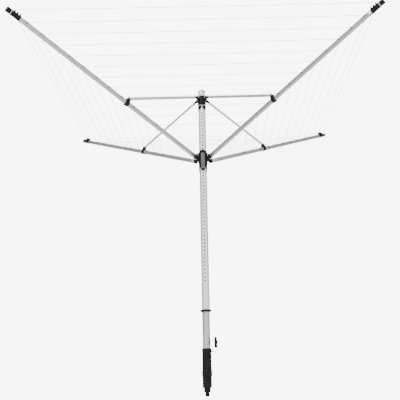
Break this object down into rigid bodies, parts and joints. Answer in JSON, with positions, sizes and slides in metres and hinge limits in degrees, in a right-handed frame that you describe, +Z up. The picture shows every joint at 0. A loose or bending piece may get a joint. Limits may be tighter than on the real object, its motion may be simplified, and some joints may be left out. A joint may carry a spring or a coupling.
{
  "type": "rotary clothesline",
  "caption": "Rotary clothesline with folding arms on a sliding hub, struts to a top hub, retracting lines, a perforated mast and a lidded ground sleeve.",
  "frame": {"origin": "on the mast axis, in the plane of the ground sleeve's mouth", "axes": "+Z up along the mast, -Y towards the side with the lock holes and the grip lever, arms on the four diagonals"},
  "size_m": [2.0238, 2.0238, 1.9789],
  "materials": {
    "satin_aluminium": "satin anodised extrusion, faint drawn lines along its length",
    "mast_aluminium": "pale satin anodised round tube",
    "black_plastic": "moulded black plastic with a fine grain",
    "grey_plastic": "moulded mid grey plastic with a fine grain",
    "pale_plastic": "pale soft plastic, slightly translucent looking",
    "sleeve_plastic": "thick-walled black ground sleeve plastic, lightly scuffed",
    "steel": "bright zinc-plated steel pins",
    "spring_steel": "spring wire",
    "line_cord": "pale grey plastic-coated line"
  },
  "bodies": {
    "ground_socket": {"ground_sleeve": "sleeve_plastic"},
    "lid": {"sleeve_lid": "sleeve_plastic", "lid_strap": "pale_plastic"},
    "mast": {"foot_tube": "satin_aluminium", "foot_plug": "black_plastic", "mast_tube": "mast_aluminium", "mast_end_ring": "black_plastic", "mast_cap": "grey_plastic", "top_hub": "black_plastic", "hub_stop_ring": "pale_plastic"},
    "sliding_hub": {"lower_hub": "black_plastic", "lever_pin": "steel", "lock_spring": "spring_steel", "line_set_front": "line_cord", "line_set_right": "line_cord", "line_set_back": "line_cord", "line_set_left": "line_cord", "outer_line": "line_cord", "root_pin_front_left": "steel", "root_pin_front_right": "steel", "root_pin_back_right": "steel", "root_pin_back_left": "steel"},
    "lever": {"grip_lever": "grey_plastic"},
    "lock": {"lock_pin": "steel"},
    "arm_front_left": {"arm_front_left": "satin_aluminium", "arm_root_front_left": "black_plastic", "end_cap_front_left": "black_plastic", "strut_clamp_front_left": "black_plastic", "clamp_pin_front_left": "steel", "line_puller_front_left": "spring_steel"},
    "strut_front_left": {"strut_front_left": "satin_aluminium", "strut_end_front_left": "black_plastic", "top_pin_front_left": "steel"},
    "arm_front_right": {"arm_front_right": "satin_aluminium", "arm_root_front_right": "black_plastic", "end_cap_front_right": "black_plastic", "strut_clamp_front_right": "black_plastic", "clamp_pin_front_right": "steel", "line_puller_front_right": "spring_steel"},
    "strut_front_right": {"strut_front_right": "satin_aluminium", "strut_end_front_right": "black_plastic", "top_pin_front_right": "steel"},
    "arm_back_right": {"arm_back_right": "satin_aluminium", "arm_root_back_right": "black_plastic", "end_cap_back_right": "black_plastic", "strut_clamp_back_right": "black_plastic", "clamp_pin_back_right": "steel", "line_puller_back_right": "spring_steel"},
    "strut_back_right": {"strut_back_right": "satin_aluminium", "strut_end_back_right": "black_plastic", "top_pin_back_right": "steel"},
    "arm_back_left": {"arm_back_left": "satin_aluminium", "arm_root_back_left": "black_plastic", "end_cap_back_left": "black_plastic", "strut_clamp_back_left": "black_plastic", "clamp_pin_back_left": "steel", "line_puller_back_left": "spring_steel"},
    "strut_back_left": {"strut_back_left": "satin_aluminium", "strut_end_back_left": "black_plastic", "top_pin_back_left": "steel"}
  },
  "joints": [
    {"name": "mast_spin", "type": "hinge", "parent": "ground_socket", "child": "mast", "pos_m": [0, 0, 0], "axis": [0, 0, 1], "continuous": true},
    {"name": "lid_swing", "type": "hinge", "parent": "ground_socket", "child": "lid", "pos_m": [0.0324, 0, -0.0175], "axis": [0, 1, 0], "range_deg": [-10, 80]},
    {"name": "fold", "type": "slide", "parent": "mast", "child": "sliding_hub", "axis": [0, 0, 1], "range_m": [-0.78378, 0], "deforming": ["line_set_front", "line_set_right", "line_set_back", "line_set_left", "outer_line"]},
    {"name": "lever_pull", "type": "hinge", "parent": "sliding_hub", "child": "lever", "pos_m": [0, -0.038, 1.197], "axis": [-1, 0, 0], "range_deg": [0, 13], "stiffness_Nm_per_rad": 0.6, "springref_deg": -14.32},
    {"name": "lock_slide", "type": "slide", "parent": "sliding_hub", "child": "lock", "axis": [0, -1, 0], "range_m": [0, 0.0046], "deforming": ["lock_spring"]},
    {"name": "arm_swing_front_left", "type": "hinge", "parent": "sliding_hub", "child": "arm_front_left", "pos_m": [-0.0396, -0.0396, 1.188], "axis": [-0.7071, 0.7071, 0], "range_deg": [0, 66.8]},
    {"name": "strut_swing_front_left", "type": "hinge", "parent": "arm_front_left", "child": "strut_front_left", "pos_m": [-0.4315, -0.4315, 1.42373], "axis": [0.7071, -0.7071, 0], "range_deg": [0, 137.1]},
    {"name": "arm_swing_front_right", "type": "hinge", "parent": "sliding_hub", "child": "arm_front_right", "pos_m": [0.0396, -0.0396, 1.188], "axis": [-0.7071, -0.7071, 0], "range_deg": [0, 66.8]},
    {"name": "strut_swing_front_right", "type": "hinge", "parent": "arm_front_right", "child": "strut_front_right", "pos_m": [0.4315, -0.4315, 1.42373], "axis": [0.7071, 0.7071, 0], "range_deg": [0, 137.1]},
    {"name": "arm_swing_back_right", "type": "hinge", "parent": "sliding_hub", "child": "arm_back_right", "pos_m": [0.0396, 0.0396, 1.188], "axis": [0.7071, -0.7071, 0], "range_deg": [0, 66.8]},
    {"name": "strut_swing_back_right", "type": "hinge", "parent": "arm_back_right", "child": "strut_back_right", "pos_m": [0.4315, 0.4315, 1.42373], "axis": [-0.7071, 0.7071, 0], "range_deg": [0, 137.1]},
    {"name": "arm_swing_back_left", "type": "hinge", "parent": "sliding_hub", "child": "arm_back_left", "pos_m": [-0.0396, 0.0396, 1.188], "axis": [0.7071, 0.7071, 0], "range_deg": [0, 66.8]},
    {"name": "strut_swing_back_left", "type": "hinge", "parent": "arm_back_left", "child": "strut_back_left", "pos_m": [-0.4315, 0.4315, 1.42373], "axis": [-0.7071, -0.7071, 0], "range_deg": [0, 137.1]}
  ],
  "couplings": [
    {"joint": "lock_slide", "follows": "lever_pull", "m_per_rad": 0.02},
    {"joint": "arm_swing_front_left", "follows": "fold", "rad_per_m": -1.4853},
    {"joint": "strut_swing_front_left", "follows": "fold", "rad_per_m": -3.05},
    {"joint": "arm_swing_front_right", "follows": "fold", "rad_per_m": -1.4853},
    {"joint": "strut_swing_front_right", "follows": "fold", "rad_per_m": -3.05},
    {"joint": "arm_swing_back_right", "follows": "fold", "rad_per_m": -1.4853},
    {"joint": "strut_swing_back_right", "follows": "fold", "rad_per_m": -3.05},
    {"joint": "arm_swing_back_left", "follows": "fold", "rad_per_m": -1.4853},
    {"joint": "strut_swing_back_left", "follows": "fold", "rad_per_m": -3.05}
  ]
}
